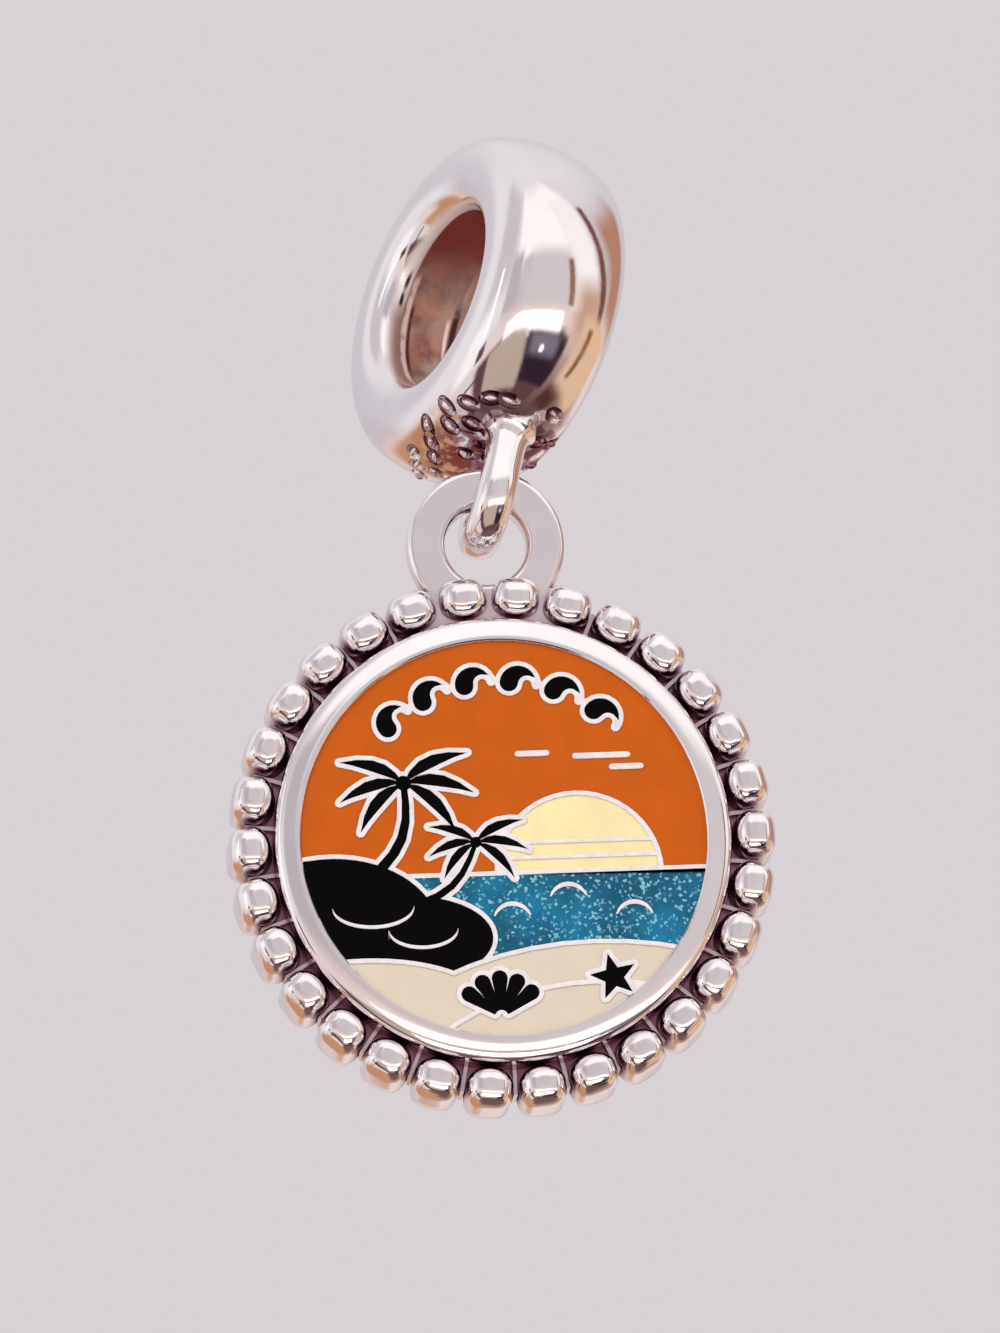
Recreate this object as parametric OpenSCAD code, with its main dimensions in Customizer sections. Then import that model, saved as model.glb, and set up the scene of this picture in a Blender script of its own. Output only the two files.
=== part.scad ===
/* [Bail] */
// Outer diameter of the bail over its band
bail_d = 9.2; // [8.8:0.1:10]
// Width of the bail along its bore
bail_w = 3.8; // [3.4:0.1:4.4]
// Diameter of the bore
bore_d = 4.8; // [4.4:0.1:5]
// Radius of the shoulders between the band and the side faces
shoulder_r = 1.15; // [0.8:0.05:1.3]
// Radius of the lips where the side faces turn into the bore
lip_r = 0.75; // [0.4:0.05:0.8]
// How far the band swells between its shoulders
crown_h = 0.12; // [0.05:0.01:0.2]
// Turn of the bail about its own bore, away from hanging straight down
bail_roll = -15; // [-25:1:0]
// Slope of the bore above the horizontal
bail_slope = 14; // [0:1:25]
// Turn of the bail about the vertical
bail_turn = 26; // [0:1:35]

/* [Loop] */
// Width of the opening inside the loop
loop_inside_w = 1.4; // [1.35:0.05:1.7]
// Depth of the opening inside the loop, below the bail's band
loop_inside_h = 1.95; // [1.85:0.05:2.6]
// Thickness of the loop's wire, in the plane of the loop
wire_t = 0.85; // [0.6:0.05:1]
// Width of the loop's wire, across the plane of the loop
wire_w = 1; // [0.9:0.05:1.2]
// Radius of the solder at the feet of the loop
solder_r = 0.55; // [0.45:0.01:0.65]
// Twist of the loop away from the bail's own middle plane
loop_twist = -18; // [-24:1:-12]
// Lean of the loop, sideways from straight down
loop_lean = 8; // [0:1:12]
// How far along the bore the loop's feet stand from the bail's middle
loop_shift = 0.4; // [0:0.05:0.6]

/* [Medallion] */
// Diameter of the medallion over its edge beads
medal_d = 14; // [13.8:0.1:15]
// Thickness of the medallion over its rim
medal_t = 1.9; // [1.7:0.05:2.4]
// Thickness of the plate under the edge beads
plate_t = 0.9; // [0.7:0.05:1]
// Outer diameter of the rim
rim_d = 11.7; // [11.4:0.1:11.7]
// Diameter of the picture field inside the rim
field_d = 10.4; // [9.6:0.1:10.6]
// Height of the rim's rounded outer side
rim_round_h = 0.45; // [0.3:0.05:0.6]
// Width of the rim's flat crest
rim_flat = 0.12; // [0.08:0.02:0.3]
// Chamfer round the plain back
back_chamfer = 0.15; // [0.05:0.05:0.25]

/* [Edge beads] */
// Number of edge beads
bead_count = 30; // [28:1:32]
// Width of an edge bead along the rim
bead_w = 1.2; // [0.9:0.02:1.22]
// Length of an edge bead across the rim
bead_len = 1.26; // [0.9:0.02:1.3]
// Radius that rounds an edge bead's corners in plan
bead_corner_r = 0.72; // [0.66:0.01:0.74]
// Radius of an edge bead's dome
bead_dome_r = 0.8; // [0.76:0.01:0.95]
// How far the edge beads stay below the rim's crest
bead_drop = 0.1; // [0:0.02:0.2]
// Thickness of the fins between the edge beads
fin_t = 0.12; // [0.08:0.01:0.16]
// Height of the fins above the plate
fin_h = 0.2; // [0.1:0.05:0.4]

/* [Eyelet] */
// Outer diameter of the eyelet
eyelet_d = 4.05; // [3.95:0.05:4.15]
// Diameter of the eyelet's hole
eyelet_hole_d = 2.1; // [2.05:0.05:2.4]
// Thickness of the eyelet
eyelet_t = 0.75; // [0.6:0.05:0.8]
// Bevel on the eyelet's edges
eyelet_bevel = 0.17; // [0.08:0.01:0.2]
// How deep the lowest part of the eyelet sinks behind the beads' outer ends
eyelet_sink = 1.11; // [0.9:0.03:1.14]
// How far the eyelet hangs to the left of its middle
eyelet_side = 0.26; // [0.15:0.01:0.3]
// Clearance between the eyelet's crown and the inside of the loop's foot
eyelet_clearance = 0.4; // [0.35:0.05:0.6]

/* [Enamel] */
// Width of the raised metal lines between the enamel cells
line_w = 0.12; // [0.1:0.01:0.16]
// Depth of the enamel cells below the metal lines
cell_depth = 0.34; // [0.25:0.01:0.4]
// How far the metal lines stay below the rim's crest
line_drop = 0.06; // [0.02:0.01:0.1]
// How far the enamel stays below the metal lines
enamel_drop = 0.03; // [0.01:0.01:0.06]
// Gap round each piece of enamel
enamel_gap = 0.02; // [0.01:0.01:0.03]

/* [Picture] */
// Radius of the sun
sun_r = 2.05; // [1.6:0.05:2.2]
// Height of the horizon above the centre of the picture
horizon_z = -1; // [-1.3:0.05:-0.8]
// Length of the longest palm leaves
leaf_len = 1.75; // [1.4:0.05:1.9]
// Radius of each comma of the scroll
scroll_r = 0.47; // [0.4:0.01:0.5]
// Number of commas in the scroll
scroll_count = 6; // [4:1:6]
// Reach of the shell's ribs
shell_r = 1.2; // [1:0.05:1.3]
// Reach of the starfish's arms
star_r = 0.62; // [0.5:0.02:0.7]

/* [Hidden] */
$fn = 0;
$fa = 6;
$fs = 0.1;

silver = "silver";

bail_r = bail_d / 2;
bore_r = bore_d / 2;
wall_mid_r = (bail_r + bore_r) / 2;
shoulder_x = bail_w / 2 - shoulder_r;
shoulder_c = bail_r - crown_h - shoulder_r;
// radius of the crown's arc, which touches the two shoulders' arcs
crown_r = shoulder_r + (pow(shoulder_x, 2) + pow(crown_h, 2)) / (2 * crown_h);

loop_mid = loop_inside_w / 2 + wire_t / 2;
loop_bend_z = -(bail_r + loop_inside_h - loop_inside_w / 2);
// the point in the loop where the crown of the eyelet hangs
eyelet_band = (eyelet_d - eyelet_hole_d) / 2;
seat_z = -(bail_r + eyelet_clearance + eyelet_band / 2);

medal_r = medal_d / 2;
front_z = medal_t / 2;
back_z = -medal_t / 2;
rim_r = rim_d / 2;
field_r = field_d / 2;
rim_flat_r = field_r + rim_flat;
bead_ring_r = medal_r - bead_len / 2;
bead_top_z = front_z - bead_drop;
bead_foot_z = back_z + back_chamfer;
plate_r = bead_ring_r + 0.1;
eyelet_rise = medal_r - eyelet_sink + eyelet_d / 2;

line_z = front_z - line_drop;
floor_z = line_z - cell_depth;
enamel_top_z = line_z - enamel_drop;

// turns a point about the x axis, then the y axis, then the z axis
function turned_x(p, a) = [p.x, p.y * cos(a) - p.z * sin(a), p.y * sin(a) + p.z * cos(a)];
function turned_y(p, a) = [p.x * cos(a) + p.z * sin(a), p.y, -p.x * sin(a) + p.z * cos(a)];
function turned_z(p, a) = [p.x * cos(a) - p.y * sin(a), p.x * sin(a) + p.y * cos(a), p.z];
function turned(p, a) = turned_z(turned_y(turned_x(p, a.x), a.y), a.z);

// the seat in the loop's frame, in the bail's frame and in the whole part's frame
loop_seat = [0, 0, seat_z + bail_r];
bail_seat = [loop_shift, 0, -bail_r] + turned(loop_seat, [0, loop_lean, loop_twist]);
seat = turned(bail_seat, [bail_roll, bail_slope, bail_turn]);
medal_centre = seat - [eyelet_side, 0, (eyelet_d - eyelet_band) / 2 + eyelet_rise];

// half of the bail's wall: radius along x, distance along the bore along y
module bail_section() {
    side_r = bore_r + lip_r;
    intersection() {
        translate([bail_r - crown_r, 0]) circle(r = crown_r);
        union() {
            for (side = [-1, 1]) {
                translate([shoulder_c, side * shoulder_x]) circle(r = shoulder_r);
                translate([side_r, side * (bail_w / 2 - lip_r)]) circle(r = lip_r);
            }
            translate([bore_r, -(bail_w / 2 - lip_r)])
                square([bail_r - bore_r - shoulder_r, bail_w - 2 * lip_r]);
            translate([min(side_r, shoulder_c), -bail_w / 2]) square([abs(shoulder_c - side_r), bail_w]);
            translate([side_r, -shoulder_x]) square([bail_r - side_r, 2 * shoulder_x]);
        }
    }
}

module bail_ring() {
    rotate([0, 90, 0]) difference() {
        rotate_extrude() bail_section();
        cylinder(r = bore_r, h = 2 * bail_w, center = true);
    }
}

// the loop's wire cut across: wire_t along x and wire_w along y, with round edges
module wire_section() {
    for (side = [-1, 1]) translate([0, side * (wire_w - wire_t) / 2]) circle(d = wire_t);
    square([wire_t, wire_w - wire_t], center = true);
}

// places its children in the loop's own frame, which turns about the loop's foot on the band
module at_loop() {
    translate([loop_shift, 0, -bail_r]) rotate([0, loop_lean, loop_twist]) translate([0, 0, bail_r])
        children();
}

module loop() {
    leg_top_z = -wall_mid_r;
    translate([0, 0, loop_bend_z]) rotate([0, 90, 0]) rotate([0, 0, -90])
        rotate_extrude(angle = 180) translate([loop_mid, 0]) wire_section();
    for (side = [-1, 1]) {
        translate([0, side * loop_mid, loop_bend_z]) rotate([0, 0, 90])
            linear_extrude(leg_top_z - loop_bend_z) wire_section();
        translate([0, side * (loop_mid + wire_t / 4), -sqrt(pow(bail_r, 2) - pow(loop_mid, 2)) + solder_r / 3])
            sphere(r = solder_r);
    }
}

// puts its children on the shoulder of the bail, beta degrees round from the band to the side face
module on_shoulder(turn, beta) {
    rotate([turn, 0, 0]) translate([-shoulder_x, 0, -shoulder_c]) rotate([0, beta, 0])
        translate([0, 0, -shoulder_r]) children();
}

// rows of raised ovals in oval grooves on the left of the loop's feet: how far each row lies round
// the shoulder, and its turns about the bore
left_rows = [[6, [-23, -11, 13, 25]], [27, [-17, -5, 7, 19]], [47, [-10, 3]]];
// the same on the right, and turns of more on the band's left side, clear of the loop's feet
right_rows = [[10, [-25, -13]], [40, [-12, 1, 14]]];
band_turns = [-25, 2, 21, 32];
oval_r = shoulder_r * 0.2;
oval_shape = [1.5, 1, 0.8];

module at_ovals(rows) {
    for (row = rows, turn = row[1])
        on_shoulder(turn, row[0]) rotate([0, 0, 20 + turn * 2]) children();
}

module at_band_ovals() {
    for (turn = band_turns)
        rotate([turn, 0, 0]) translate([-shoulder_x * 0.6, 0, -bail_r]) children();
}

module oval_groove() {
    scale(oval_shape) sphere(r = oval_r);
}

module raised_oval() {
    translate([0, 0, oval_r * 0.5]) scale([0.9, 0.55, 1]) sphere(r = oval_r);
}

module ornament_places() {
    at_ovals(left_rows) children();
    mirror([1, 0, 0]) at_ovals(right_rows) children();
    at_band_ovals() children();
}

module bail() {
    color(silver) rotate([bail_roll, bail_slope, bail_turn]) {
        difference() {
            bail_ring();
            ornament_places() oval_groove();
        }
        at_loop() loop();
        ornament_places() raised_oval();
    }
}

// places its children at the medallion, drawn flat with the picture's up along y and its front along z
module at_medallion() {
    translate(medal_centre) rotate([90, 0, 0]) children();
}

// half of the medallion's round body: radius along x, thickness along y
module medallion_section() {
    rim_round_w = rim_r - rim_flat_r;
    difference() {
        translate([0, back_z]) square([plate_r, plate_t]);
        translate([plate_r, back_z]) rotate(45)
            square(back_chamfer * sqrt(2), center = true);
    }
    translate([0, back_z]) square([rim_flat_r, medal_t]);
    translate([0, back_z]) square([rim_r, medal_t - rim_round_h]);
    translate([rim_flat_r, front_z - rim_round_h]) scale([rim_round_w, rim_round_h]) circle(r = 1);
}

module edge_bead() {
    intersection() {
        translate([-bead_w / 2, -bead_len / 2, bead_foot_z])
            cube([bead_w, bead_len, bead_top_z - bead_foot_z]);
        translate([0, 0, bead_foot_z]) cylinder(r = bead_corner_r, h = bead_top_z - bead_foot_z);
        union() {
            translate([0, 0, bead_top_z - bead_dome_r]) sphere(r = bead_dome_r);
            translate([0, 0, bead_foot_z])
                cylinder(r = bead_dome_r, h = bead_top_z - bead_dome_r - bead_foot_z);
        }
    }
}

// the first bead and the last stand on either side of the eyelet's middle
module edge_beads() {
    step = 360 / bead_count;
    for (i = [0 : bead_count - 1]) {
        rotate([0, 0, (i + 0.5) * step]) translate([0, bead_ring_r, 0]) edge_bead();
        rotate([0, 0, i * step]) translate([-fin_t / 2, rim_r - 0.1, back_z + back_chamfer])
            cube([fin_t, plate_r + 0.2 - rim_r, plate_t + fin_h - back_chamfer]);
    }
}

// half of the eyelet's ring: radius along x, thickness along y
module eyelet_section() {
    inner = eyelet_hole_d / 2;
    outer = eyelet_d / 2;
    half = eyelet_t / 2;
    b = eyelet_bevel;
    polygon([[inner, b - half], [inner + b, -half], [outer - b, -half], [outer, b - half],
             [outer, half - b], [outer - b, half], [inner + b, half], [inner, half - b]]);
}

// the ring, and a web behind the beads that joins it to the plate
module eyelet() {
    web_w = eyelet_d * 0.9;
    web_top = medal_r - bead_len / 4;
    translate([0, eyelet_rise, 0]) rotate_extrude() eyelet_section();
    translate([-web_w / 2, rim_r - 0.3, -eyelet_t / 2]) cube([web_w, web_top - rim_r + 0.3, eyelet_t]);
}

module medallion() {
    color(silver) at_medallion() difference() {
        union() {
            rotate_extrude() medallion_section();
            edge_beads();
            eyelet();
        }
        translate([0, 0, line_z]) cylinder(r = field_r, h = medal_t);
        translate([0, 0, floor_z]) linear_extrude(medal_t) offset(delta = enamel_gap) all_cells();
    }
}

// Picture shapes. Places and reaches are shares of the picture field's radius.

// a long leaf along +x that droops, from its root at the origin to its tip
module leaf(len, droop) {
    steps = 5;
    upper = [for (i = [0 : steps]) let (t = i / steps)
        [len * t, 0.09 * len * sin(180 * t) - droop * len * t * t + 0.1 * len * sin(90 * t)]];
    lower = [for (i = [steps : -1 : 0]) let (t = i / steps)
        [len * t, -0.1 * len * sin(180 * t) - droop * len * t * t + 0.1 * len * sin(90 * t)]];
    polygon(concat(upper, lower));
}

// a trunk that leans and thins from its foot to its head
module trunk(foot, head, bend, w) {
    steps = 6;
    side = [(head - foot).y, (foot - head).x] / norm(head - foot);
    line = [for (i = [0 : steps]) let (t = i / steps) foot + (head - foot) * t + side * bend * sin(180 * t)];
    left = [for (i = [0 : steps]) line[i] - side * w * (1 - 0.4 * i / steps) / 2];
    right = [for (i = [steps : -1 : 0]) line[i] + side * w * (1 - 0.4 * i / steps) / 2];
    polygon(concat(left, right));
}

module palm(foot, head, size) {
    trunk(foot, head, 0.16 * norm(head - foot), 0.3 * size);
    translate(head) {
        circle(r = 0.2 * size);
        for (turn = [8, 42, -28])
            rotate(turn) leaf(leaf_len * size, 0.42);
        for (turn = [2, 38, -30])
            mirror([1, 0]) rotate(turn) leaf(leaf_len * size * 0.94, 0.42);
    }
}

module picture_field() {
    circle(r = field_r, $fn = 72);
}

module oval(centre, reach) {
    translate(centre * field_r) scale(reach * field_r) circle(r = 1, $fn = 60);
}

module beach() {
    oval([0.42, -1.72], [1.5, 1.17]);
}

module headland() {
    oval([-0.86, -0.46], [0.52, 0.38]);
    oval([-0.5, -0.5], [0.42, 0.22]);
    palm([-0.68, -0.2] * field_r, [-0.48, 0.29] * field_r, 1);
    palm([-0.5, -0.34] * field_r, [-0.14, -0.02] * field_r, 0.74);
}

// a thin metal line along the lower part of an oval
module under_line(centre, reach) {
    difference() {
        oval(centre, reach);
        translate([0, line_w * 0.8]) oval(centre, reach);
    }
}

module headland_cell() {
    tidy_cell() intersection() {
        picture_field();
        difference() {
            headland();
            offset(delta = line_w) ground();
            under_line([-0.66, -0.34], [0.2, 0.1]);
            under_line([-0.42, -0.46], [0.17, 0.09]);
        }
    }
}

module sun_disc() {
    translate([0.36 * field_r, horizon_z]) circle(r = sun_r, $fn = 48);
}

module above_horizon(lift) {
    translate([-field_r, horizon_z + lift]) square(2 * field_r);
}

// one comma of the scroll, head to the left
module comma() {
    difference() {
        union() {
            intersection() {
                circle(r = scroll_r, $fn = 24);
                translate([-scroll_r, 0]) square([2 * scroll_r, scroll_r]);
            }
            translate([-scroll_r / 2, 0]) circle(r = scroll_r / 2, $fn = 16);
        }
        translate([scroll_r / 2, 0]) circle(r = scroll_r / 2, $fn = 16);
    }
}

module scroll() {
    ring_r = field_r * 0.785;
    step = 2 * asin(1.22 * scroll_r / ring_r);
    for (i = [0 : scroll_count - 1])
        rotate(((scroll_count - 1) / 2 - i) * step) translate([0, ring_r]) comma();
}

module bar(centre, len, w) {
    translate(centre * field_r) {
        square([len - w, w], center = true);
        for (side = [-1, 1]) translate([side * (len - w) / 2, 0]) circle(d = w, $fn = 8);
    }
}

module clouds() {
    bar([0.5, 0.4], 1.5, line_w * 1.3);
    bar([0.62, 0.34], 0.9, line_w * 1.3);
    bar([0.16, 0.42], 0.9, line_w * 1.3);
}

// thin metal lines across the sun and the sea
module sun_bars() {
    for (lift = [0.14, 0.28])
        translate([-field_r, horizon_z + lift * sun_r * 1.4]) square([2 * field_r, line_w * 0.7]);
}

module ripples() {
    for (place = [[0.3, -0.33], [0.62, -0.43], [0.02, -0.42]])
        translate(place * field_r) intersection() {
            difference() {
                circle(r = 0.5, $fn = 24);
                translate([0, -line_w]) circle(r = 0.5, $fn = 24);
            }
            translate([-0.5, 0.12]) square(1);
        }
}

// ribs fan out from the shell's hinge, each a wedge with a round end
module shell() {
    rib = 17;
    hinge = [-0.06, -0.9] * field_r;
    for (i = [-2 : 2]) translate(hinge) rotate(i * 1.55 * rib) {
        end_r = shell_r * tan(rib / 2) * 1.15;
        polygon([[-0.07, 0.16], [0.07, 0.16], [end_r, shell_r - end_r], [-end_r, shell_r - end_r]]);
        translate([0, shell_r - end_r]) circle(r = end_r, $fn = 16);
    }
}

module starfish() {
    translate([0.5, -0.72] * field_r) rotate(12)
        polygon([for (i = [0 : 9]) (i % 2 == 0 ? star_r : star_r * 0.42) * [sin(36 * i), cos(36 * i)]]);
}

module ground() {
    beach();
    oval([-0.72, -0.86], [0.6, 0.25]);
}

// drops slivers too thin to enamel
module tidy_cell() {
    sliver = 0.05;
    offset(delta = sliver) offset(delta = -sliver) children();
}

module sky_cell() {
    tidy_cell() difference() {
        intersection() {
            picture_field();
            above_horizon(line_w);
        }
        offset(r = line_w, $fn = 8) {
            sun_disc();
            headland();
            scroll();
        }
        clouds();
    }
}

module sun_cell() {
    tidy_cell() difference() {
        intersection() {
            sun_disc();
            above_horizon(line_w);
            picture_field();
        }
        offset(r = line_w, $fn = 8) headland();
        sun_bars();
    }
}

module sea_cell() {
    tidy_cell() difference() {
        picture_field();
        above_horizon(0);
        offset(r = line_w, $fn = 8) {
            headland();
            ground();
        }
        ripples();
    }
}

module sand_cell() {
    tidy_cell() difference() {
        intersection() {
            picture_field();
            ground();
        }
        difference() {
            oval([0.42, -1.72], [1.2, 0.99]);
            offset(delta = -line_w) oval([0.42, -1.72], [1.2, 0.99]);
        }
        offset(r = line_w, $fn = 8) {
            shell();
            starfish();
        }
    }
}

module shell_cell() {
    tidy_cell() intersection() {
        picture_field();
        shell();
    }
}

module all_cells() {
    sky_cell();
    sun_cell();
    sea_cell();
    sand_cell();
    headland_cell();
    tidy_cell() scroll();
    shell_cell();
    tidy_cell() starfish();
}

module enamel() {
    at_medallion() translate([0, 0, floor_z + enamel_gap])
        linear_extrude(enamel_top_z - floor_z - enamel_gap) children();
}

module enamel_sky() {
    color("#d2600f") enamel() sky_cell();
}

module enamel_sun() {
    color("#efe3a0") enamel() sun_cell();
}

module enamel_sea() {
    color("#0c7aa0") enamel() sea_cell();
}

module enamel_sand() {
    color("#ddd3be") enamel() sand_cell();
}

module enamel_headland() {
    color("#141114") enamel() headland_cell();
}

module enamel_scroll() {
    color("#141114") enamel() tidy_cell() scroll();
}

module enamel_shell() {
    color("#141114") enamel() shell_cell();
}

module enamel_starfish() {
    color("#141114") enamel() tidy_cell() starfish();
}

bail();
medallion();
enamel_sky();
enamel_sun();
enamel_sea();
enamel_sand();
enamel_headland();
enamel_scroll();
enamel_shell();
enamel_starfish();
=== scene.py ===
"""Dangle charm: a silver bail with a soldered loop, and a round medallion with a beaded edge
and an enamelled beach at sunset, hanging from the loop by its eyelet."""

import math

import bmesh
import bpy
from mathutils import Euler, Matrix, Vector


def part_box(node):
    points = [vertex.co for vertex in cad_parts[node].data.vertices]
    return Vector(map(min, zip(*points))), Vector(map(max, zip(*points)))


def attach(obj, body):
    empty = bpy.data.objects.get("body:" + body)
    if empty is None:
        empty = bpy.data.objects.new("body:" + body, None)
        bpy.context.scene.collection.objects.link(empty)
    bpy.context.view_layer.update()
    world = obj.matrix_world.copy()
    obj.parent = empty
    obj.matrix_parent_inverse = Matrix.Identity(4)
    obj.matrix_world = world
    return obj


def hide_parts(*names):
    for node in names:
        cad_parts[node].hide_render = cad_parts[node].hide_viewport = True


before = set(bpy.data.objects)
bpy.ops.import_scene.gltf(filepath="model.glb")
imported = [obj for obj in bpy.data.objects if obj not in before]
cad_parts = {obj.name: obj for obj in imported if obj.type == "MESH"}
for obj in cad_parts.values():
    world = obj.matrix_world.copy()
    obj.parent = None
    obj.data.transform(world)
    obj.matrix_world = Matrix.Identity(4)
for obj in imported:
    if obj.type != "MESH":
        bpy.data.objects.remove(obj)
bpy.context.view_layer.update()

bl_info = {
    "name": "Dangle charm",
    "version": (1, 0, 0),
    "blender": (4, 5, 0),
    "location": "3D View > Sidebar > Charm",
    "description": "Silver bail, beaded medallion and enamel inlays round a packed frame",
    "category": "Add Mesh",
}

MM = 0.001

BAIL_BODY = "bail"
PENDANT_BODY = "pendant"

# Steps round the revolved forms, and sides of a section of the wire and of an edge bead
BAIL_STEPS = 224
MEDALLION_STEPS = 300
EYELET_STEPS = 128
FIELD_STEPS = 240
WIRE_SIDES = 28
BEAD_SIDES = 48
# Distances below which a point lies on the axis, and two points are one
ON_AXIS = 1e-9
SAME_POINT = 1e-8


def length(name, description, millimetres):
    return bpy.props.FloatProperty(
        name=name, description=description, default=millimetres * MM,
        min=0.0, precision=5, subtype="DISTANCE", unit="LENGTH")


def colour(name, description, rgb):
    return bpy.props.FloatVectorProperty(
        name=name, description=description, default=rgb, size=3,
        min=0.0, max=1.0, subtype="COLOR")


def angle(name, description, degrees):
    return bpy.props.FloatProperty(
        name=name, description=description, default=math.radians(degrees),
        subtype="ANGLE", unit="ROTATION")


class CharmBailSizes(bpy.types.PropertyGroup):
    """Sizes of the bail and the loop soldered under it"""
    outer: length("Diameter", "Outer diameter of the bail over its band", 9.2)
    width: length("Width", "Width of the bail along its bore", 3.8)
    bore: length("Bore", "Diameter of the bore", 4.8)
    shoulder: length("Shoulder", "Radius of the shoulders beside the band", 1.15)
    lip: length("Lip", "Radius of the lips round the bore's mouths", 0.75)
    crown: length("Crown", "How far the band swells between its shoulders", 0.12)
    roll: angle("Roll", "Turn of the bail about its own bore", -15)
    slope: angle("Slope", "Slope of the bore above the horizontal", 14)
    turn: angle("Turn", "Turn of the bail about the vertical", 26)
    loop_width: length("Loop width", "Width of the opening inside the loop", 1.4)
    loop_depth: length("Loop depth", "Depth of the opening below the band", 1.95)
    wire_thick: length("Wire thickness", "Thickness of the wire in the loop's plane", 0.85)
    wire_wide: length("Wire width", "Width of the wire across the loop's plane", 1.0)
    loop_twist: angle("Loop twist", "Twist of the loop away from the bail's middle plane", -18)
    loop_lean: angle("Loop lean", "Lean of the loop, sideways from straight down", 8)
    loop_shift: length("Loop shift", "How far along the bore the loop's feet stand", 0.4)


class CharmMedallionSizes(bpy.types.PropertyGroup):
    """Sizes of the medallion, its rim, edge beads and eyelet"""
    outer: length("Diameter", "Diameter of the medallion over its edge beads", 14.0)
    thick: length("Thickness", "Thickness of the medallion over its rim", 1.9)
    plate: length("Plate", "Thickness of the plate under the edge beads", 0.9)
    rim: length("Rim", "Outer diameter of the rim", 11.7)
    field: length("Picture field", "Diameter of the picture field inside the rim", 10.4)
    rim_round: length("Rim rounding", "Height of the rim's rounded outer side", 0.45)
    rim_slope: bpy.props.FloatProperty(
        name="Rim slope", description="Share of the rounding's height the rim's face falls by",
        default=0.3, min=0.0, max=0.9)
    rim_flat: length("Rim crest", "Width of the rim's flat crest", 0.12)
    chamfer: length("Back chamfer", "Chamfer round the plain back", 0.15)
    bead_count: bpy.props.IntProperty(
        name="Edge beads", description="Number of edge beads", default=30, min=3)
    bead_wide: length("Bead width", "Width of an edge bead along the rim", 1.22)
    bead_long: length("Bead length", "Length of an edge bead across the rim", 1.26)
    bead_drop: length("Bead drop", "How far the beads stay below the rim's crest", 0.08)
    bead_dome: length("Bead dome", "Height of an edge bead's rounded top", 0.56)
    fin: length("Fin", "Thickness of the fins between the beads", 0.1)
    fin_high: length("Fin height", "Height of the fins above the plate", 0.2)
    eyelet: length("Eyelet", "Outer diameter of the eyelet", 4.05)
    hole: length("Eyelet hole", "Diameter of the eyelet's hole", 2.1)
    eyelet_thick: length("Eyelet thickness", "Thickness of the eyelet", 0.75)
    bevel: length("Eyelet bevel", "Bevel on the eyelet's edges", 0.17)
    sink: length("Eyelet sink", "How deep the eyelet sinks behind the beads' ends", 1.11)
    line_drop: length("Line drop", "How far the metal lines stay below the rim", 0.06)
    cell: length("Cell depth", "Depth of the enamel cells below the lines", 0.34)
    line_round: length("Line rounding", "Rounding of the metal lines' edges", 0.012)


class CharmColours(bpy.types.PropertyGroup):
    """Colours of the metal and the enamels"""
    silver: colour("Silver", "Polished silver", (0.90, 0.87, 0.885))
    # tarnish in the recesses, which also serves there as painted shade
    tarnish_and_shade: colour("Tarnish", "Darkened silver in the recesses", (0.28, 0.10, 0.16))
    bore: colour("Bore", "Cast metal inside the bore", (0.52, 0.28, 0.215))
    sky: colour("Sky", "Orange enamel of the sky", (0.455, 0.086, 0.002))
    sun: colour("Sun", "Pale enamel of the sun", (0.72, 0.64, 0.34))
    sea: colour("Sea", "Teal enamel of the sea", (0.004, 0.125, 0.235))
    glitter: colour("Glitter", "Flakes in the sea's enamel", (0.25, 0.62, 0.72))
    sand: colour("Sand", "Cream enamel of the sand", (0.57, 0.51, 0.41))
    black: colour("Black", "Black enamel", (0.001, 0.0008, 0.001))
    floor: colour("Floor", "Pale studio floor", (0.68, 0.645, 0.64))


class CharmStudio(bpy.types.PropertyGroup):
    """Camera and lights"""
    distance: bpy.props.FloatProperty(
        name="Camera distance", description="Distance from the camera to the charm",
        default=0.4, subtype="DISTANCE", unit="LENGTH")
    azimuth: angle("Azimuth", "How far the camera stands to the left of the picture", 5.17)
    elevation: angle("Elevation", "How far the camera looks up", 14.95)
    lean: angle("Lean", "How far the medallion's top leans to the left", 3.2)
    scale: bpy.props.FloatProperty(
        name="Scale", description="Picture elements to a millimetre at the medallion",
        default=39.2)


# Places

def bail_turn():
    s = bpy.context.scene.charm_bail
    return Euler((s.roll, s.slope, s.turn), "XYZ").to_matrix().to_4x4()


def bore_axis():
    return bail_turn().to_3x3() @ Vector((1, 0, 0))


def eyelet_rise():
    """How far the eyelet's centre stands above the medallion's."""
    s = bpy.context.scene.charm_medallion
    return s.outer / 2 - s.sink + s.eyelet / 2


def medallion_place():
    """The medallion drawn flat, its picture's up along y and its front along z."""
    low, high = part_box("medallion")
    top = eyelet_rise() + bpy.context.scene.charm_medallion.eyelet / 2
    centre = Vector(((low.x + high.x) / 2, (low.y + high.y) / 2, high.z - top))
    return Matrix.Translation(centre) @ Matrix.Rotation(math.radians(90), 4, "X")


# Mesh helpers

def new_object(name, data):
    made = bpy.data.objects.new(name, data)
    bpy.context.scene.collection.objects.link(made)
    return made


def mesh_of(name, mesh_builder, place=None):
    """The mesh that a bmesh holds, with its faces outwards, moved to its place."""
    bmesh.ops.recalc_face_normals(mesh_builder, faces=mesh_builder.faces)
    mesh = bpy.data.meshes.new(name)
    mesh_builder.to_mesh(mesh)
    mesh_builder.free()
    if place is not None:
        mesh.transform(place)
    return mesh


def new_piece(name, mesh_builder, place=None):
    """A closed mesh object from a bmesh."""
    mesh_builder.normal_update()
    return new_object(name, mesh_of(name, mesh_builder, place))


def joined(name, meshes):
    """One piece made of several meshes, which are used up."""
    bm = bmesh.new()
    for mesh in meshes:
        bm.from_mesh(mesh)
        bpy.data.meshes.remove(mesh)
    return new_piece(name, bm)


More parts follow.
